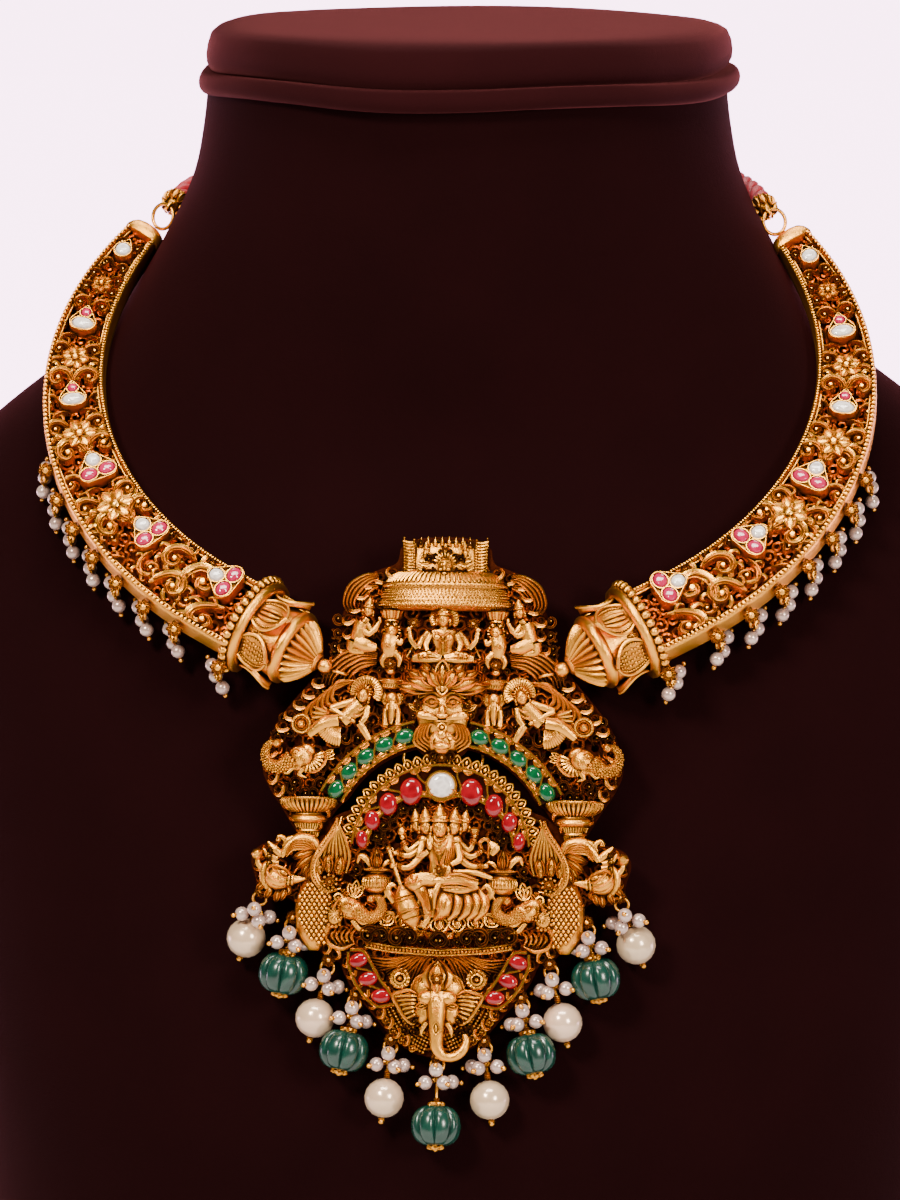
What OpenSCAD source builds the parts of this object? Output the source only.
// Temple necklace with pierced gold arms, a two tier pendant and bead drops, on a velvet neck bust.
// The bust stands on the floor with its front towards -Y and its neck over the origin.

/* [Neck bust] */
// Height of the bust's body, under the cap
bust_h = 291; // [285:1:300]
// Width of the bust across the shoulders
bust_w = 238; // [230:1:250]
// Depth of the bust from the neck's centre to the front of the chest
bust_front = 90; // [88:1:94]
// Depth of the bust from the neck's centre to the back
bust_back = 49; // [46:1:60]
// Distance of the neck's centre behind the origin
neck_y = 12; // [8:1:16]
// Roundness of the bust's sections, 2 is an ellipse
bust_round = 2.1; // [2:0.1:2.4]
// Thickness of the padded cap with its piping
cap_h = 13.6; // [12:0.2:16]
// Width of the padded cap
cap_w = 110; // [106:1:114]
// Depth of the padded cap
cap_d = 96; // [90:1:100]

/* [Collar] */
// Width between the arms' centrelines at the widest place
collar_w = 160; // [158:1:164]
// Half length of the arms' ellipse along their plane
collar_l = 68; // [66:1:70]
// Slope of the arms' plane from level
collar_tilt = 47.5; // [46:0.5:49]
// Width of an arm at the beaded ring
arm_w_front = 16; // [14:0.5:17]
// Width of an arm at its end cap
arm_w_back = 7.6; // [7:0.2:9]
// Depth of an arm's side walls
arm_depth = 4.4; // [3.6:0.2:5]
// Thickness of the pierced face
face_t = 1.2; // [0.8:0.1:1.6]
// Thickness of the side walls
wall_t = 1; // [0.8:0.1:1.4]
// Height of the edge rails above the face
rail_h = 0.6; // [0.4:0.1:1]
// Radius of the beaded ring of a finial
finial_r = 10.3; // [9:0.1:11]
// Radius of the finial's end ball
ball_r = 1.6; // [1.2:0.1:2]
// Height of the stone settings above the face
setting_h = 2.2; // [1.6:0.1:2.6]

/* [Pendant] */
// Thickness of the cast plates
plate_t = 1.6; // [1.2:0.1:2]
// Distance of the plates from the chest
plate_off = 3.3; // [3:0.1:4]
// Height of the relief above the plates
relief_h = 4.6; // [4:0.1:5.4]
// Height of the top of the pendant above its own zero
crown_top = 12.8; // [12:0.2:14]
// Radius of the emerald rail's inner edge
rail_r = 22.4; // [22:0.1:23]
// Width of the emerald rail
rail_w = 4.8; // [4.6:0.1:5.2]
// Outer radius of the ruby arch
arch_r = 18; // [17.6:0.1:18.4]
// Level of the centre that both arches share, below the pendant's zero
arch_drop = 51; // [50.5:0.1:51.5]

/* [Stones and beads] */
// Length of an emerald
emerald_l = 3.8; // [3.4:0.1:4]
// Width of an emerald
emerald_w = 3; // [2.6:0.1:3.2]
// Diameter of the round stone at the top of the ruby arch
polki_d = 5.6; // [5:0.1:5.8]
// Height of the cut stones
stone_h = 1.5; // [1.2:0.1:1.8]
// Diameter of the big pearls
pearl_d = 8; // [7.4:0.1:8.2]
// Width of the carved melon beads
melon_w = 10.2; // [9.6:0.1:10.6]
// Height of the carved melon beads
melon_h = 7.8; // [7:0.1:8.4]
// Diameter of the small pearls
small_pearl_d = 2.9; // [2.6:0.1:3]

/* [Wire and cord] */
// Radius of the pins' wire
pin_r = 0.3; // [0.2:0.05:0.35]
// Radius of the jump rings' wire
ring_wire_r = 0.3; // [0.25:0.05:0.35]
// Radius of the jump rings
jump_ring_r = 1.35; // [1.3:0.05:1.5]
// Radius of the wire of the rings at the arms' tops
end_wire_r = 0.5; // [0.4:0.05:0.6]
// Diameter of the silk cord
cord_d = 4.8; // [4:0.2:5]

/* [Fits] */
// Gap between a stone and its setting
stone_gap = 0.12; // [0.1:0.01:0.15]
// Gap between a pin and the bore of its bead
bore_gap = 0.15; // [0.1:0.01:0.2]
// Gap between what lies on the chest and the velvet
rest_gap = 0.4; // [0.3:0.1:0.6]

/* [Hidden] */

gold = [0.80, 0.58, 0.24];
velvet = [0.26, 0.06, 0.08];
pink = [0.86, 0.30, 0.48];
crimson = [0.76, 0.06, 0.20];
green = [0.04, 0.42, 0.28];
clear = [0.90, 0.90, 0.88];
cream = [0.95, 0.89, 0.80];
silk = [0.72, 0.06, 0.10];

$fn = 32;
// Overlap of fused pieces
fuse = 0.2;
// Sides of the bust's sections
bust_sides = 24;

// Sections of the bust from the floor up: height, half width, front and back, as shares of its sizes
bust_rows = [
    [0.000, 0.840, 0.940, 0.940],
    [0.170, 0.890, 0.980, 0.980],
    [0.292, 0.925, 0.985, 1.000],
    [0.515, 0.990, 0.806, 1.000],
    [0.600, 1.000, 0.730, 1.000],
    [0.660, 0.983, 0.645, 1.000],
    [0.701, 0.950, 0.580, 1.000],
    [0.739, 0.890, 0.500, 1.000],
    [0.771, 0.815, 0.472, 1.000],
    [0.790, 0.730, 0.470, 1.000],
    [0.830, 0.600, 0.480, 1.000],
    [0.869, 0.535, 0.485, 1.000],
    [0.935, 0.475, 0.500, 1.000],
    [1.000, 0.455, 0.510, 0.980]];

// Sections of the cap: height as a share of its thickness, and breadth as a share of its own
cap_rows = [
    [0.00, 0.985], [0.08, 1.020], [0.22, 1.035], [0.36, 1.020], [0.44, 0.985],
    [0.50, 0.980], [0.60, 1.000], [0.78, 1.000], [0.91, 0.975], [1.00, 0.910]];

// Route of the silk cord over the right half, from its ferrule to the middle of the back
cord_half = [[62, 16.5, 266], [60.2, 24, 267.5], [56, 34, 269], [48, 45, 270.5],
    [38, 53.5, 272], [26, 59.6, 273], [13, 63.2, 273.5], [0, 64.4, 273.6]];
cord_route = concat(cord_half, [for (i = [len(cord_half) - 2 : -1 : 0]) mirrored(cord_half[i])]);

function mirrored(p) = [-p[0], p[1], p[2]];
function unit(v) = v / norm(v);
function mix(a, b, t) = a + (b - a) * t;

// Value of column c of a table of rows at height share s
function row_value(rows, s, c, i = 0) =
    i >= len(rows) - 2 || s <= rows[i + 1][0]
        ? mix(rows[i][c], rows[i + 1][c], (s - rows[i][0]) / (rows[i + 1][0] - rows[i][0]))
        : row_value(rows, s, c, i + 1);

function signed_pow(v, e) = sign(v) * pow(abs(v), e);
function oval_ring(a, front, back, z) = [for (i = [0 : bust_sides - 1])
    let (t = 360 * i / bust_sides)
    [a * signed_pow(cos(t), 2 / bust_round),
     neck_y + (sin(t) < 0 ? front : back) * signed_pow(sin(t), 2 / bust_round), z]];

// Y of the bust's front surface at a place seen from the front
function chest_y(x, z) =
    let (s = z / bust_h,
         a = bust_w / 2 * row_value(bust_rows, s, 1),
         b = bust_front * row_value(bust_rows, s, 2))
    neck_y - b * pow(max(0.02, 1 - pow(min(1, abs(x) / a), bust_round)), 1 / bust_round);
function chest_normal(x, z) =
    unit([chest_y(x + 1, z) - chest_y(x - 1, z), -2, chest_y(x, z + 1) - chest_y(x, z - 1)]);

// The pendant's own frame: x across, y up its plane, z away from the chest, zero at its upper third
slope_top = 0.567 * bust_h;
slope_end = 0.292 * bust_h;
pendant_tilt = atan((chest_y(0, slope_top) - chest_y(0, slope_end)) / (slope_top - slope_end));
pendant_z = slope_top + 28.8;
pendant_y = chest_y(0, slope_top) + 28.8 * tan(pendant_tilt) - plate_off / cos(pendant_tilt);
up_pendant = [0, sin(pendant_tilt), cos(pendant_tilt)];
off_pendant = [0, -cos(pendant_tilt), sin(pendant_tilt)];
function from_pendant(p) = [p[0], pendant_y, pendant_z] + p[1] * up_pendant + p[2] * off_pendant;
function to_pendant(w) = let (d = w - [0, pendant_y, pendant_z]) [d[0], d * up_pendant, d * off_pendant];

// The arms' own plane: x across, y up the slope, z away from the neck
collar_a = collar_w / 2;
collar_middle = 67;
straight_from = 36;
ring_at = 29;
ball_at = 15.5;
cap_at = 121;
cap_l = 3.4;
arm_step = 4;
setting_first = 36;
setting_step = 16;
setting_count = 6;
lug_first = 38.4;
lug_step = 5.7;
lug_count = 7;
ball_seat = [24, -13.6, 3.9];
up_collar = [0, cos(collar_tilt), sin(collar_tilt)];
off_collar = [0, -sin(collar_tilt), cos(collar_tilt)];
finial_drop = 2;
collar_zero = from_pendant([0, ball_seat[1], ball_seat[2]]) - centreline(ball_at)[1] * up_collar
    + finial_drop * off_collar;
function from_collar(p) = [p[0], 0, 0] + collar_zero + p[1] * up_collar + p[2] * off_collar;

// Centreline of the right arm: an ellipse from the cap forward, then straight on to the ball
function ellipse_point(u) = [collar_a * sin(u), collar_middle - collar_l * cos(u)];
function ellipse_speed(u) = [collar_a * cos(u), collar_l * sin(u)];
function centreline(u) = u >= straight_from ? ellipse_point(u)
    : ellipse_point(straight_from) + ellipse_speed(straight_from) * (u - straight_from) * PI / 180;
function along(u) = unit(ellipse_speed(max(u, straight_from)));
function outward(u) = let (t = along(u)) [t[1], -t[0]];
function heading(u) = let (t = along(u)) atan2(t[1], t[0]) - 90;
function arm_w(u) = let (s = min(1, max(0, (cap_at - u) / (cap_at - ring_at))))
    arm_w_back + (arm_w_front - arm_w_back) * (1 - (1 - s) * (1 - s));
// The front settings sit nearer to the arm's inner edge
function setting_in(u) = 4 * pow(max(0, 84 - u) / 48, 1.2);

// Shapes

// Solid through rings of equal numbers of points, the first and the last one closed
module loft(rings) {
    n = len(rings[0]);
    m = len(rings);
    points = [for (r = rings) for (p = r) p];
    sides = [for (j = [0 : m - 2]) for (i = [0 : n - 1])
        let (a = j * n + i, b = j * n + (i + 1) % n)
        each [[a, a + n, b], [b, a + n, b + n]]];
    polyhedron(points, concat(sides, [[for (i = [0 : n - 1]) i]],
        [[for (i = [n - 1 : -1 : 0]) (m - 1) * n + i]]), convexity = 8);
}

// Puts children at a place with their -y along a given way and their z near a given normal
module hang(place, down, normal) {
    y = -unit(down);
    z = unit(normal - (normal * y) * y);
    x = cross(y, z);
    multmatrix([[x[0], y[0], z[0], place[0]], [x[1], y[1], z[1], place[1]],
        [x[2], y[2], z[2], place[2]], [0, 0, 0, 1]]) children();
}

module in_collar() translate(collar_zero) rotate([collar_tilt, 0, 0]) children();
module in_pendant() translate([0, pendant_y, pendant_z]) rotate([90 - pendant_tilt, 0, 0]) children();
module mirror_if(other) mirror([other ? 1 : 0, 0, 0]) children();
module both() {
    children();
    mirror([1, 0, 0]) children();
}

// Place on the arm: x outward, y towards the end cap, z off the face
module on_arm(u, across = 0, up = 0) {
    p = centreline(u) + across * outward(u);
    translate([p[0], p[1], up]) rotate(heading(u)) children();
}

module ring(r, wire) rotate_extrude() translate([r, 0]) circle(wire, $fn = 16);
// Cast eye, in flat facets like the plate that it belongs to
module cast_eye(r, wire) rotate_extrude($fn = 10) translate([r, 0]) circle(wire, $fn = 5);

// Ring that links two eyes, about an axis across their line
module link(a, b, wire, axis) hang((a + b) / 2, b - a, axis) ring(norm(b - a) / 2, wire);

function oval(l, w, sides, z) = [for (i = [0 : sides - 1]) let (t = 360 * (i + 0.5) / sides)
    [l / 2 * cos(t), w / 2 * sin(t), z]];
// Oval stone with a girdle, eight facets and a table
module cut_stone(l, w) {
    loft([oval(l * 0.8, w * 0.8, 8, 0), oval(l, w, 8, stone_h * 0.45), oval(l * 0.55, w * 0.55, 8, stone_h)]);
}
// Pocket that such a stone sits in, open above
module stone_pocket(l, w) {
    translate([0, 0, -stone_gap]) linear_extrude(stone_h * 2)
        polygon([for (p = oval(l + 2.4 * stone_gap, w + 2.4 * stone_gap, 8, 0)) [p[0], p[1]]]);
}

// Bust

module bust_body() color(velvet) loft([for (r = bust_rows)
    oval_ring(bust_w / 2 * r[1], bust_front * r[2], bust_back * r[3], bust_h * r[0])]);

module bust_cap() color(velvet) loft([for (r = cap_rows)
    oval_ring(cap_w / 2 * r[1], cap_d / 2 * r[1], cap_d / 2 * r[1], bust_h + cap_h * r[0])]);

// Cord and its ends

cord_sides = 8;
ferrule_l = 3.2;
ferrule_wall = 0.4;
eye_r = 0.9;
function route_way(i) = unit(cord_route[min(i + 1, len(cord_route) - 1)] - cord_route[max(i - 1, 0)]);
function cord_ring(i) =
    let (t = route_way(i), side = unit(cross([0, 0, 1], t)), top = cross(t, side))
    [for (k = [0 : cord_sides - 1]) let (a = 360 * k / cord_sides)
        cord_route[i] + cord_d / 2 * (cos(a) * side + sin(a) * top)];
module neck_cord() color(silk) loft([for (i = [0 : len(cord_route) - 1]) cord_ring(i)]);

ferrule_eye = cord_route[0] - (ferrule_l + eye_r) * route_way(0);
cap_eye = from_collar([each centreline(cap_at) + along(cap_at) * (cap_l + eye_r), -arm_depth / 2]);
cap_way = [along(cap_at)[0], 0, 0] + along(cap_at)[1] * up_collar;

// Ferrule that grips the cord, with the eye its ring goes through
module cord_end() {
    ring_normal = cross(cap_eye - ferrule_eye, off_collar);
    color(gold) union() {
        hang(cord_route[0], cord_route[0] - ferrule_eye, off_collar) rotate([-90, 0, 0])
            cylinder(h = ferrule_l, r1 = cord_d / 2 + ferrule_wall, r2 = eye_r);
        hang(ferrule_eye, ferrule_eye - cap_eye, ring_normal) ring(eye_r, end_wire_r * 0.7);
    }
}
module end_ring() color(gold) link(cap_eye, ferrule_eye, end_wire_r * 0.7, off_collar);

// Arms

function band(half, from, to) = concat(
    [for (u = [from : arm_step : to]) centreline(u) + outward(u) * half(u)],
    [for (u = [to : -arm_step : from]) centreline(u) - outward(u) * half(u)]);
outer_band = function (u) arm_w(u) / 2;
inner_band = function (u) arm_w(u) / 2 - wall_t;

// Widths and lengths of the stones of a setting: across, along, its width and length, and if it is red
trefoil = [[0, 2, 2.9, 2.7, false], [1.85, -0.95, 3.3, 2.3, true], [-1.85, -0.95, 3.3, 2.3, true]];
pair = [[0, 1.45, 2.0, 1.9, true], [0, -1.15, 4.4, 2.5, false]];
single = [[0, -0.2, 3.2, 2.8, false]];
function stones_of(k) = k <= 2 ? trefoil : k <= 4 ? pair : single;
function setting_at(k) = setting_first + setting_step * k;

module setting_outline(k) {
    if (k <= 2) hull() {
        translate([0, 3.4]) circle(0.9);
        translate([2, -1]) circle(2.1);
        translate([-2, -1]) circle(2.1);
    }
    else if (k <= 4) hull() {
        translate([0, 2.9]) circle(0.5);
        translate([1, -0.9]) circle(1.9);
        translate([-1, -0.9]) circle(1.9);
    }
    else hull() {
        translate([0, 2.2]) circle(0.4);
        translate([0, -0.3]) circle(2);
    }
}

module on_setting(k) on_arm(setting_at(k), -setting_in(setting_at(k)), 0) children();

stone_seat = setting_h - stone_h * 0.7;
module settings() for (k = [0 : setting_count - 1]) on_setting(k) difference() {
    translate([0, 0, -face_t]) linear_extrude(face_t + setting_h) setting_outline(k);
    for (s = stones_of(k)) translate([s[0], s[1], stone_seat]) stone_pocket(s[2], s[3]);
}
module arm_stones(red) for (k = [0 : setting_count - 1]) on_setting(k)
    for (s = stones_of(k)) if (s[4] == red) translate([s[0], s[1], stone_seat]) cut_stone(s[2], s[3]);

// Openings of the pierced face: a ring of round gaps about each flower and two beside each setting
module piercings() {
    for (k = [0 : setting_count - 2]) let (u = setting_at(k) + setting_step / 2, w = arm_w(u))
        for (side = [-1, 1]) {
            on_arm(u, side * w * 0.33) circle(w * 0.085);
            on_arm(u - 3.6, side * w * 0.2) circle(w * 0.08);
            on_arm(u + 3.6, side * w * 0.2) circle(w * 0.08);
        }
    for (k = [1 : setting_count - 2]) let (u = setting_at(k), w = arm_w(u))
        on_arm(u, w / 2 - 2.2) circle(0.6);
}

module petal_flower(r, h) {
    for (a = [0 : 60 : 300]) rotate(a) translate([r * 0.6, 0, 0]) cylinder(h = h, r = r * 0.34);
    cylinder(h = h * 1.5, r = r * 0.4);
}

// End of the arm: beaded ring, rim, drum, three leaves, plain ring, ribbed dome and ball, flat behind
finial_l = norm(centreline(ring_at) - centreline(ball_at));
drum_r = 7.4;
dome_r = 6.1;
rib_count = 20;
module finial_body() {
    rotate_extrude() polygon([[0, -0.8], [finial_r - 0.6, -0.8], [finial_r - 0.6, 1.6], [drum_r, 2.4],
        [drum_r, finial_l * 0.56], [dome_r, finial_l * 0.6], [dome_r, finial_l * 0.62],
        [dome_r * 0.82, finial_l * 0.78], [ball_r, finial_l * 0.92], [0, finial_l * 0.92]]);
    rotate_extrude() translate([finial_r, 0]) circle(0.9, $fn = 16);
    translate([0, 0, finial_l * 0.56]) rotate_extrude() translate([drum_r - 0.6, 0]) circle(1.1, $fn = 16);
    translate([0, 0, finial_l]) sphere(ball_r);
    for (a = [-55, 0, 55]) rotate(a) translate([0, -drum_r, 2]) rotate([-8, 0, 0])
        linear_extrude(finial_l * 0.42) polygon([[-2.6, 0.8], [0, -1.6], [2.6, 0.8]]);
}
finial_back = 4;
module finial() on_arm(ring_at, 0, -finial_drop) rotate([90, 0, 0]) difference() {
    finial_body();
    for (i = [0 : rib_count - 1]) rotate(360 * i / rib_count)
        translate([dome_r * 1.04, 0, finial_l * 0.6]) rotate([0, -30, 0]) cylinder(h = 9, r = 0.35);
    translate([-15, -15 - finial_back, -5]) cube([30, 15, 40]);
}
finial_eye = from_collar([each centreline(ball_at) - along(ball_at) * (ball_r + 0.55), -finial_drop]);

// Places of the lugs on the outer wall and of the clusters that hang from them
lug_out = 1.5;
lug_down = 3;
function lug_at(i) = i < lug_count ? lug_first + lug_step * i : ring_at;
function lug_across(i) = lug_out + (i < lug_count ? arm_w(lug_at(i)) / 2 : finial_r + 0.2);
function lug_place(i) = let (c = centreline(lug_at(i)) + outward(lug_at(i)) * lug_across(i))
    from_collar([c[0], c[1], -lug_down]);
lugs = [for (i = [0 : lug_count]) lug_place(i)];
small_r = small_pearl_d / 2;
hub_drop = jump_ring_r * 2 + 1.6;
spray_r = small_pearl_d * 0.93;
cluster_l = hub_drop + spray_r * 0.5;
function lie_place(p, l, r) = let (q = [p[0] + 0.12 * l * sign(p[0]), p[2] - l * 0.93])
    [q[0], chest_y(q[0], q[1]), q[1]] + chest_normal(q[0], q[1]) * (r + rest_gap);
function cluster_way(p) = unit(lie_place(p, cluster_l, small_r) - p);
function cluster_normal(p) = chest_normal(p[0], p[2] - cluster_l);
module at_cluster(p) hang(p, cluster_way(p), cluster_normal(p)) children();

lug_r = 1;
lug_t = 0.7;
lug_hole = ring_wire_r + 0.25;
// Disc with a hole across, that a jump ring goes through
module lug() rotate([0, 90, 0]) translate([0, 0, -lug_t / 2]) difference() {
    cylinder(h = lug_t, r = lug_r);
    translate([0, 0, -1]) cylinder(h = lug_t + 2, r = lug_hole);
}
module lug_post(i) {
    root = i < lug_count ? arm_w(lug_at(i)) / 2 - wall_t * 0.5 : finial_r - 1;
    on_arm(lug_at(i), root, -lug_down) rotate([0, 90, 0])
        cylinder(h = lug_across(i) - lug_r * 0.8 - root, r = 0.75);
}

module arm_body() union() {
    difference() {
        translate([0, 0, -arm_depth]) linear_extrude(arm_depth + rail_h)
            polygon(band(outer_band, ring_at, cap_at));
        translate([0, 0, -arm_depth - 1]) linear_extrude(arm_depth + 1 - face_t)
            polygon(band(inner_band, ring_at + 2, cap_at - 2));
        linear_extrude(rail_h + 1) polygon(band(inner_band, ring_at + 2, cap_at - 2));
        translate([0, 0, -face_t - 1]) linear_extrude(face_t + 2) piercings();
    }
    settings();
    for (k = [0 : setting_count - 2]) on_arm(setting_at(k) + setting_step / 2, 0, -0.1)
        petal_flower(arm_w(setting_at(k)) * 0.17, 1.1);
    on_arm(cap_at, 0, -arm_depth / 2) translate([0, cap_l / 2 - 0.2, 0])
        cube([arm_w_back + 1, cap_l, arm_depth + 1.6], center = true);
    finial();
    for (i = [0 : lug_count]) lug_post(i);
}

module arm_right() color(gold) union() {
    in_collar() arm_body();
    for (p = lugs) at_cluster(p) lug();
    hang(cap_eye, -cap_way, cross(ferrule_eye - cap_eye, off_collar)) ring(eye_r, end_wire_r * 0.7);
    hang(finial_eye, [1, 0, 0], off_pendant) ring(0.75, ring_wire_r);
}
module arm_left() mirror([1, 0, 0]) arm_right();
module arm_rubies(left) mirror_if(left) color(pink) in_collar() arm_stones(true);
module arm_polkis(left) mirror_if(left) color(clear) in_collar() arm_stones(false);

// Pearl clusters along the arms

spray_angles = [-70, 0, 70];
// The higher clusters lean outward, clear of the next one below
function spray_turn(i) = i < lug_count ? 6 * i : 20;
pin_head = 0.55;
pin_eye_r = 0.8;
// Wire eye on the jump ring, with its wound neck below
module pin_top() {
    translate([0, -jump_ring_r * 2, 0]) rotate([0, 90, 0]) ring(pin_eye_r, pin_r * 0.9);
    translate([0, -hub_drop + 0.6, 0]) rotate([90, 0, 0]) cylinder(h = 1.2, r = 0.55);
}
module branch(way, l) hang([0, -hub_drop, 0], way, [0, 0.3, 1]) {
    rotate([90, 0, 0]) cylinder(h = l + small_r + 0.3, r = pin_r * 0.8);
    translate([0, -l - small_r - 0.45, 0]) sphere(pin_head * 0.9);
}
module drilled_pearl(r, bore) difference() {
    sphere(r);
    rotate([90, 0, 0]) cylinder(h = r * 3, r = bore, center = true);
}
module branch_pearl(way, l) hang([0, -hub_drop, 0], way, [0, 0.3, 1])
    translate([0, -l, 0]) drilled_pearl(small_r, pin_r * 0.8 + bore_gap);
function spray_way(a) = [sin(a), -cos(a), 0];

module jump_ring() translate([0, -jump_ring_r, 0]) ring(jump_ring_r, ring_wire_r);
module cluster_rings(left) mirror_if(left) color(gold) for (p = lugs) at_cluster(p) jump_ring();
module cluster_pins(left) mirror_if(left) color(gold) for (i = [0 : lug_count]) at_cluster(lugs[i]) union() {
    pin_top();
    for (a = spray_angles) branch(spray_way(a + spray_turn(i)), spray_r);
}
module cluster_pearls(left) mirror_if(left) color(cream) for (i = [0 : lug_count]) at_cluster(lugs[i])
    for (a = spray_angles) branch_pearl(spray_way(a + spray_turn(i)), spray_r);

// Pendant

arch_c = [0, -arch_drop];
function on_arc(r, a) = arch_c + r * [cos(a), sin(a)];
function arc_band(r1, r2, from, to, step) = concat(
    [for (a = [from : step : to]) on_arc(r1, a)], [for (a = [to : -step : from]) on_arc(r2, a)]);
function two_sided(half) = concat(half, [for (i = [len(half) - 1 : -1 : 0]) [-half[i][0], half[i][1]]]);

vase_x = 26.7;
vase_top = -40.2;
pillar_x = 10.6;
roof_w = 25.4;
crown_w = 16.4;

// Right half of the upper plate, from the crown down the side, round the vase and up the rail
upper_half = concat(
    [[crown_w / 2, crown_top - 1], [crown_w / 2 + 0.3, 6.7], [roof_w / 2, 5.3], [16.8, 3.7], [17.4, 0.5],
     [20.2, -3.6], [19.4, -7.5], [21.5, -11.2], [25.4, -16.4], [30.9, -22.8], [33.1, -26],
     [36, -33.2], [33.5, -38.6], [vase_x + 5, vase_top - 0.7], [vase_x + 1.4, vase_top - 6.8],
     [vase_x, vase_top - 8.3], [vase_x - 1.4, vase_top - 6.8], [vase_x - 5, vase_top - 1]],
    [for (a = [30 : 6 : 78]) on_arc(rail_r, a)],
    [[3.4, -30.4], [1.6, -31]]);
upper_gaps = [[4.6, -1.3, 0.8], [7.4, -4.2, 0.9], [7.2, -9.4, 0.9], [13.2, -3.4, 0.7], [13.2, -8.6, 0.8],
    [13.4, -13.4, 0.8], [14.6, -20.5, 0.9], [18.2, -23.6, 0.9], [22.6, -21.6, 0.9], [26.4, -25, 0.8],
    [21.4, -28.9, 0.8], [29.2, -30.4, 0.8], [26.6, -34.4, 0.9], [4.2, -19.6, 0.6], [8.3, -22.9, 0.6]];

// Raised pieces, placed from the face of a plate
module rise(h) translate([0, 0, plate_t - fuse]) linear_extrude(h + fuse) children();
module bump(x, y, rx, ry, h, turn = 0) translate([x, y, plate_t - fuse]) rotate(turn) scale([rx, ry, 1])
    linear_extrude(h + fuse, scale = 0.55) circle(1, $fn = 8);
// Half round tier, with its curve towards the front, let into the tier below it
module tier(x, w, depth, low, high) translate([x, high, plate_t - fuse]) rotate([90, 0, 0])
    linear_extrude(high - low + fuse)
        polygon([for (a = [0 : 30 : 180]) [w / 2 * cos(a), (depth + fuse) * sin(a)]]);
module limb(a, b, r, h) rise(h) hull() {
    translate(a) circle(r, $fn = 8);
    translate(b) circle(r * 0.7, $fn = 8);
}
curl_steps = 6;
curl_w = 0.8;
module curl(x, y, r, h, from, to) rise(h) translate([x, y])
    polygon(concat([for (i = [0 : curl_steps]) let (a = mix(from, to, i / curl_steps)) r * [cos(a), sin(a)]],
        [for (i = [curl_steps : -1 : 0]) let (a = mix(from, to, i / curl_steps))
            (r - curl_w) * [cos(a), sin(a)]]));

module stone_row(places, l, w, up) for (p = places)
    translate([p[0], p[1], up]) rotate(p[2]) cut_stone(l, w);
module pocket_row(places, l, w, up) for (p = places)
    translate([p[0], p[1], up]) rotate(p[2]) stone_pocket(l, w);

emerald_angles = [31, 41.3, 51.6, 61.9, 72.2];
function rail_places() = [for (a = emerald_angles)
    let (p = on_arc(rail_r + rail_w / 2 - 0.1, a)) [p[0], p[1], a - 90]];
rail_h_up = 2;
rail_seat = plate_t + rail_h_up - stone_h * 0.7;

module eye_behind(x, y) translate([x, y, -eye_back]) rotate([0, 90, 0])
    cast_eye(eye_behind_r, ring_wire_r + 0.1);
eye_back = 1;
eye_behind_r = 0.95;
link_x = 4.6;
link_top = arch_c[1] + rail_r + 0.4;
link_low = arch_c[1] + arch_r - 2;

side_eye = to_pendant(finial_eye) - [2.6, 0.6, 0.8];

module crown() {
    tier(0, crown_w, 3, 6, crown_top - 1.6);
    for (i = [-3.5 : 1 : 3.5])
        translate([i * crown_w / 8.4, crown_top - 2, plate_t + 0.9]) rotate([-90, 0, 0])
        cylinder(h = 2.2, r1 = 0.7, r2 = 0.25, $fn = 6);
}
module canopy() {
    tier(0, roof_w, relief_h + 0.6, -0.2, 1.4);
    tier(0, roof_w - 1, relief_h, 1.4, 3.6);
    tier(0, roof_w - 4, relief_h - 0.8, 3.6, 6.2);
}
module goddess() {
    limb([0, -4.6], [0, -9.4], 2.3, relief_h - 0.6);
    bump(0, -3, 1.4, 1.7, relief_h);
    limb([-4.4, -10.8], [4.4, -10.8], 1.7, relief_h - 0.4);
    both() {
        limb([2, -5.4], [5, -6.2], 0.8, relief_h - 1.2);
        bump(5.3, -5, 1, 1.1, relief_h - 1);
    }
    tier(0, 14.4, relief_h, -16.2, -12.4);
    for (i = [-2 : 2]) bump(i * 2, -17.6, 0.9, 1.4, 2.4, i * 12);
}
module mask() {
    both() {
        bump(2.1, -20.6, 1.3, 1.2, relief_h - 1.2);
        bump(4.5, -23.2, 1.6, 1.2, relief_h - 1.6, -20);
        curl(4, -25.4, 1.5, 2.6, 60, 330);
    }
    bump(0, -23, 1.2, 1.8, relief_h);
    bump(0, -28.4, 3.2, 1.7, relief_h - 1.8);
}
module pillar() {
    tier(pillar_x, 4, 3.4, -4.4, -2.4);
    bump(pillar_x, -8, 1.8, 3.6, relief_h - 0.6);
    bump(pillar_x, -14, 1.5, 2.4, relief_h - 1.2);
    tier(pillar_x, 4.4, 3, -17.6, -16.2);
    limb([pillar_x - 0.2, -19.4], [pillar_x - 0.4, -24.6], 1.7, relief_h - 0.8);
}
module side_figures() {
    bump(15.2, -2.2, 1.4, 1.6, relief_h - 1);
    limb([15.8, -5.2], [17, -8.6], 1.9, relief_h - 1.6);
    bump(15.8, -19.2, 1.3, 1.5, relief_h - 1);
    limb([18, -19.4], [21.6, -22.4], 1.7, relief_h - 1.4);
    bump(23.6, -26, 2.6, 2, relief_h - 1.8, -35);
    curl(28.6, -26, 1.8, 2.2, 0, 330);
}
module makara() {
    limb([26, -32.6], [30, -33.4], 2.2, relief_h - 0.8);
    curl(32.6, -31.4, 2.6, relief_h - 1.6, -120, 120);
    bump(28, -30.8, 0.8, 0.8, relief_h);
    curl(27.4, -37, 1.8, 2.2, 0, 330);
    curl(31.4, -37, 1.7, 2.2, 0, 330);
}
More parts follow.
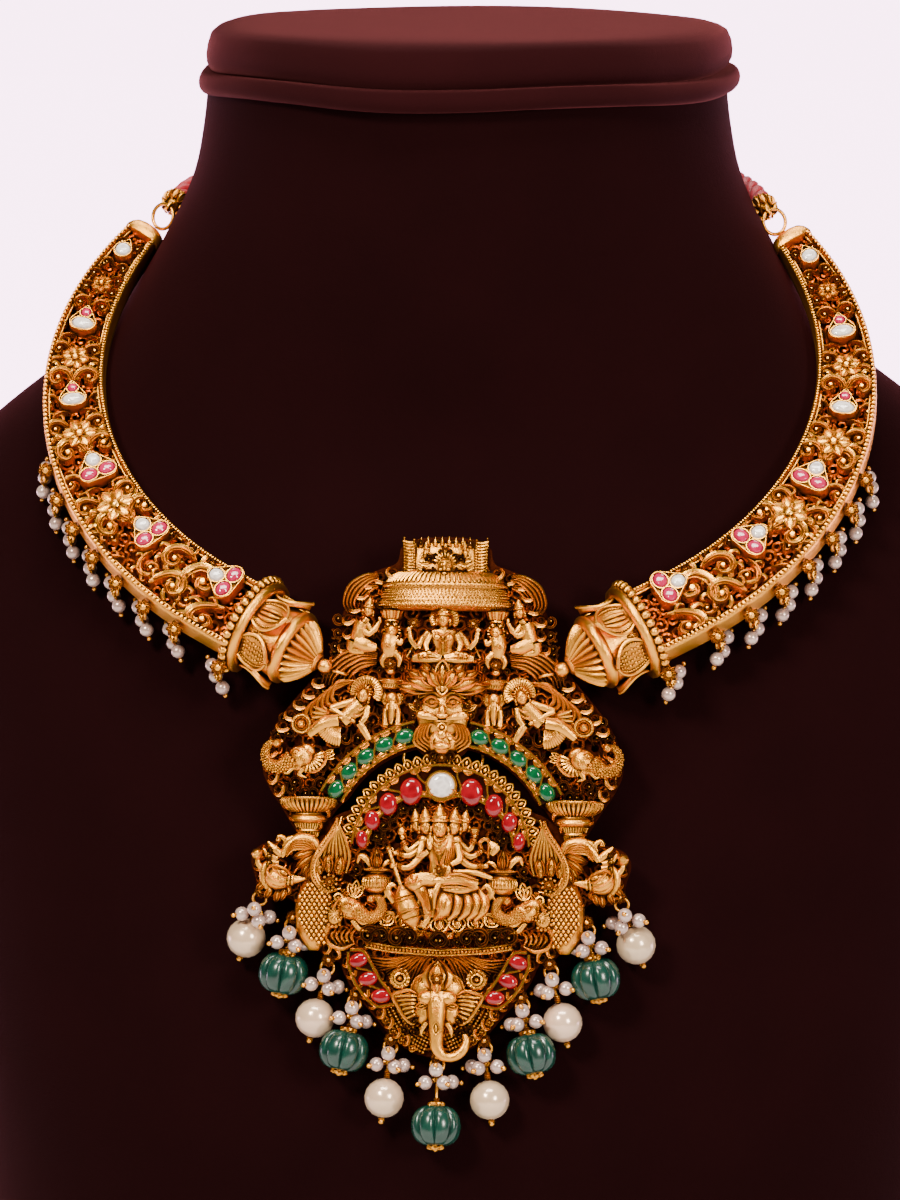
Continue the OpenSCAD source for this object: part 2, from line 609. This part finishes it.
module vase() {
    tier(vase_x, 13, relief_h, vase_top - 2.6, vase_top);
    tier(vase_x, 8.4, relief_h - 1, vase_top - 4.6, vase_top - 2.6);
    tier(vase_x, 7.6, relief_h - 0.4, vase_top - 6, vase_top - 4.6);
    tier(vase_x, 4.6, relief_h - 1.6, vase_top - 8, vase_top - 6);
}

module upper_body() union() {
    linear_extrude(plate_t) difference() {
        polygon(two_sided(upper_half));
        both() for (g = upper_gaps) translate([g[0], g[1]]) circle(g[2], $fn = 6);
    }
    difference() {
        both() rise(rail_h_up) polygon(arc_band(rail_r, rail_r + rail_w, 28, 76, 6));
        both() pocket_row(rail_places(), emerald_l, emerald_w, rail_seat);
    }
    crown();
    canopy();
    goddess();
    mask();
    both() {
        pillar();
        side_figures();
        makara();
        vase();
        eye_behind(link_x, link_top);
        translate(side_eye) cast_eye(0.8, ring_wire_r);
        translate([side_eye[0] - 1, side_eye[1], 1]) cylinder(h = side_eye[2] - 0.7, r = 0.5, $fn = 8);
    }
}
module pendant_upper() color(gold) in_pendant() upper_body();

wing_places = [[16, -72.4, -62], [14, -76.1, -58], [11.4, -79.5, -42]];
wing_l = 4.2;
wing_w = 2.9;
// Rubies of the arch: angle, distance from its centre, length along the radius and width across it
arch_stones = [[64.2, 13.9, 5.2, 4.6], [43, 14.5, 4.5, 3.7], [25.6, 15.3, 4, 3.3], [9.9, 16, 3.3, 2.4]];
function arch_place(s) = let (p = on_arc(s[1], s[0])) [p[0], p[1], s[0]];
polki_y = arch_c[1] + 13.7;

// Right half of the lower plate, from the arch's top round the bird and down to the elephant's chin
lower_half = concat(
    [for (a = [90 : -8 : 26]) on_arc(arch_r + 0.6, a)],
    [[21.4, -44.4], [24, -48.6], [26, -50.6], [30, -49.6], [35.5, -50], [37.6, -52.3], [36.2, -56],
     [36, -58.6], [33.6, -60], [31.6, -58.8], [29.5, -59.5], [27.6, -61.5], [28.4, -63.8], [26.2, -67],
     [24, -69.4], [21.6, -71.8], [19.2, -71.8], [17.6, -76.4], [14, -80.8], [10.6, -84.6], [8, -88],
     [3, -90.6]]);
lower_gaps = [[5, -44.4, 0.9], [8.6, -48, 0.9], [10.6, -52.8, 0.8], [4.6, -54.4, 0.7], [9.4, -57.6, 0.9],
    [17, -56.6, 0.9], [20.4, -51.4, 0.9], [22.4, -56.8, 0.8], [21, -60.8, 0.8], [14.4, -66, 0.7],
    [9.6, -66.8, 0.7], [5, -66.8, 0.7], [9, -74.6, 0.9], [7.4, -85.4, 0.8], [30, -52.4, 0.7]];

module arch_band() difference() {
    rise(2) polygon(concat([for (a = [8 : 8 : 172]) on_arc(arch_r, a)],
        [for (a = [172 : -8 : 8]) on_arc(11 + 3.8 * abs(cos(a)), a)]));
    both() for (s = arch_stones) pocket_row([arch_place(s)], s[2], s[3], rail_seat);
    translate([0, polki_y, rail_seat]) stone_pocket(polki_d, polki_d);
}
module spikes() for (a = [12 : 12 : 168]) let (p = on_arc(arch_r + 0.6, a))
    bump(p[0], p[1], 0.7, 0.9, 1.4, a - 80);
module deity() {
    limb([0, -46.6], [0, -52.6], 2.6, relief_h - 0.4);
    bump(0, -44.4, 1.5, 1.9, relief_h);
    limb([-6, -56], [6.4, -55], 2, relief_h - 0.2);
    tier(0, 16.6, relief_h, -62.4, -58);
    both() {
        bump(3, -44.6, 1.3, 1.6, relief_h - 0.8);
        limb([2.6, -47.4], [6.6, -48.8], 0.8, relief_h - 1.4);
        limb([2.6, -49], [7.4, -51.6], 0.8, relief_h - 1.2);
    }
}
module pot() {
    bump(13.2, -56, 2.6, 2.6, relief_h - 0.8);
    bump(13.2, -51.8, 1, 2, relief_h - 1.8);
}
module elephant() {
    limb([17.8, -61.8], [16.4, -63.6], 2.8, relief_h - 0.4);
    curl(12.4, -62.6, 2.2, relief_h - 1.2, 150, 390);
    bump(20.4, -60.6, 1.8, 1.5, relief_h - 1);
}
module peacock() {
    for (r = [0 : 4]) for (c = [0 : 1])
        bump(23 + c * 2.6 - r * 0.1, -59.6 - r * 2.4, 1.3, 1.2, 2.6 - c * 0.5);
    limb([21.2, -46], [22.6, -54.6], 1.3, 2.4);
    limb([27.4, -57.6], [30.4, -55.8], 2, relief_h - 1.4);
    bump(31.6, -55.6, 2.6, 2.4, relief_h - 0.8);
    curl(29.6, -51.8, 1.9, 2.4, 30, 270);
    curl(35.2, -53, 2.2, 2.4, -90, 180);
}
module chin_elephant() {
    limb([0, -74.4], [0, -80], 3.4, relief_h + 1.4);
    limb([0, -81], [0, -88], 1.7, relief_h + 0.8);
    bump(0, -72, 1.4, 2, relief_h - 1);
    both() bump(5.6, -80, 2.2, 3.6, relief_h - 2, 10);
}
module wing() difference() {
    rise(2) hull() {
        translate([17.4, -71.6]) circle(2.4);
        translate([10.2, -80.6]) circle(2.2);
        translate([14.8, -77]) circle(2.4);
    }
    pocket_row(wing_places, wing_l, wing_w, rail_seat);
}

// Anchors of the drops and the middles of their beads in the pendant's plane, from one side to the other
drop_half = [
    [[9.35, -88.4], [10.6, -99.9]],
    [[16.6, -79.6], [18.8, -90.6]],
    [[22.2, -72.8], [24.9, -84.2]],
    [[29.5, -64.4], [31.4, -75.4]],
    [[36, -59.2], [39.3, -68.4]]];
drop_middle = [[0, -91.8], [0, -105.2]];
drops = concat([for (i = [len(drop_half) - 1 : -1 : 0]) [for (p = drop_half[i]) [-p[0], p[1]]]],
    [drop_middle], drop_half);
function is_pearl(i) = i % 2 == 0;
function bead_h(i) = is_pearl(i) ? pearl_d : melon_h;
function bead_r(i) = is_pearl(i) ? pearl_d / 2 : melon_w / 2;
anchor_up = plate_t / 2;
// The bead lies on the chest, which falls back towards the sides
function chest_fall(p) = let (w = from_pendant([p[0], p[1], 0]))
    (chest_y(p[0], w[2]) - w[1]) * cos(pendant_tilt);
function bead_place(i) = let (p = drops[i][1])
    [p[0], p[1], bead_r(i) + rest_gap - chest_fall(p)];
function anchor_place(i) = [drops[i][0][0], drops[i][0][1], anchor_up];
function drop_way(i) = bead_place(i) - anchor_place(i);
// The drops of one side are the mirror image of the other side's
module at_drop(i) in_pendant() hang(anchor_place(i), drop_way(i), [0, 0, 1])
    mirror_if(i > len(drop_half)) children();

module drop_lug(i) hang(anchor_place(i), drop_way(i), [0, 0, 1]) union() {
    rotate([0, 90, 0]) translate([0, 0, -lug_t / 2]) difference() {
        cylinder(h = lug_t, r = lug_r, $fn = 8);
        translate([0, 0, -1]) cylinder(h = lug_t + 2, r = lug_hole, $fn = 6);
    }
    translate([-0.6, 0.6, -0.6]) cube([1.2, 3.4, 1.2]);
}

module lower_body() union() {
    linear_extrude(plate_t) difference() {
        polygon(two_sided(lower_half));
        both() for (g = lower_gaps) translate([g[0], g[1]]) circle(g[2], $fn = 6);
    }
    arch_band();
    spikes();
    deity();
    chin_elephant();
    rise(2.6) translate([-13.4, -69.4]) square([26.8, 3.4]);
    both() {
        pot();
        elephant();
        peacock();
        wing();
        eye_behind(link_x, link_low);
    }
    for (i = [0 : len(drops) - 1]) drop_lug(i);
}
module pendant_lower() color(gold) in_pendant() lower_body();

module pendant_links() color(gold) in_pendant() both() translate([link_x, 0, -eye_back])
    translate([0, (link_top + link_low) / 2, 0]) ring((link_top - link_low) / 2, ring_wire_r);
module side_link() color(gold) in_pendant() let (eye = to_pendant(finial_eye))
    link(eye, side_eye, ring_wire_r, cross(side_eye - eye, [0, 0, 1]));

module upper_emeralds() color(green) in_pendant() both()
    stone_row(rail_places(), emerald_l, emerald_w, rail_seat);
module lower_rubies() color(crimson) in_pendant() both() {
    for (s = arch_stones) stone_row([arch_place(s)], s[2], s[3], rail_seat);
    stone_row(wing_places, wing_l, wing_w, rail_seat);
}
module centre_polki() color(clear) in_pendant() translate([0, polki_y, rail_seat])
    cut_stone(polki_d, polki_d);

// Drops

lobes = 8;
// Carved bead, gathered in at its poles, with its bore along y
module melon() {
    rings = [for (t = [-66 : 26.4 : 66]) [for (k = [0 : lobes * 2 - 1])
        let (r = melon_w / 2 * pow(cos(t), 0.7) * (k % 2 == 0 ? 1 : 0.9), a = 180 * k / lobes)
        [r * cos(a), r * sin(a), melon_h / 2 * sin(t) / sin(66)]]];
    rotate([90, 0, 0]) difference() {
        loft(rings);
        cylinder(h = melon_h + 2, r = pin_r + bore_gap, center = true);
    }
}
module drop_bead(i) at_drop(i) translate([0, -norm(drop_way(i)), 0])
    if (is_pearl(i)) color(cream) drilled_pearl(pearl_d / 2, pin_r + bore_gap);
    else color(green) melon();

// Ways of the small pearls round the wound neck of a drop: one beside it and three in front
drop_ways = [[1, -0.1, -0.2], [0.52, -0.25, 0.86], [-0.75, -0.25, 0.66], [0, 0.5, 1]];
function drop_spray(way) = small_pearl_d * (way[0] == 0 ? 1.35 : 1.05);
module drop_rings() color(gold) for (i = [0 : len(drops) - 1]) at_drop(i) jump_ring();
module drop_pins() color(gold) for (i = [0 : len(drops) - 1]) at_drop(i) union() {
    pin_top();
    for (w = drop_ways) branch(unit(w), drop_spray(w));
    translate([0, -hub_drop, 0]) rotate([90, 0, 0])
        cylinder(h = norm(drop_way(i)) - hub_drop + bead_h(i) / 2 + 0.5, r = pin_r);
    translate([0, -norm(drop_way(i)) - bead_h(i) / 2 - pin_head - 0.1, 0]) sphere(pin_head);
}
module drop_small_pearls() color(cream) for (i = [0 : len(drops) - 1]) at_drop(i)
    for (w = drop_ways) branch_pearl(unit(w), drop_spray(w));

bust_body();
bust_cap();
neck_cord();
mirror([1, 0, 0]) cord_end();  // cord_end_left
cord_end();  // cord_end_right
mirror([1, 0, 0]) end_ring();  // end_ring_left
end_ring();  // end_ring_right
arm_left();
arm_right();
arm_rubies(true);  // arm_rubies_left
arm_rubies(false);  // arm_rubies_right
arm_polkis(true);  // arm_polkis_left
arm_polkis(false);  // arm_polkis_right
cluster_rings(true);  // cluster_rings_left
cluster_rings(false);  // cluster_rings_right
cluster_pins(true);  // cluster_pins_left
cluster_pins(false);  // cluster_pins_right
cluster_pearls(true);  // cluster_pearls_left
cluster_pearls(false);  // cluster_pearls_right
mirror([1, 0, 0]) side_link();  // side_link_left
side_link();  // side_link_right
pendant_upper();
pendant_lower();
pendant_links();
upper_emeralds();
lower_rubies();
centre_polki();
drop_bead(0);  // drop_pearl_1
drop_bead(2);  // drop_pearl_2
drop_bead(4);  // drop_pearl_3
drop_bead(6);  // drop_pearl_4
drop_bead(8);  // drop_pearl_5
drop_bead(10);  // drop_pearl_6
drop_bead(1);  // drop_emerald_1
drop_bead(3);  // drop_emerald_2
drop_bead(5);  // drop_emerald_3
drop_bead(7);  // drop_emerald_4
drop_bead(9);  // drop_emerald_5
drop_rings();
drop_pins();
drop_small_pearls();
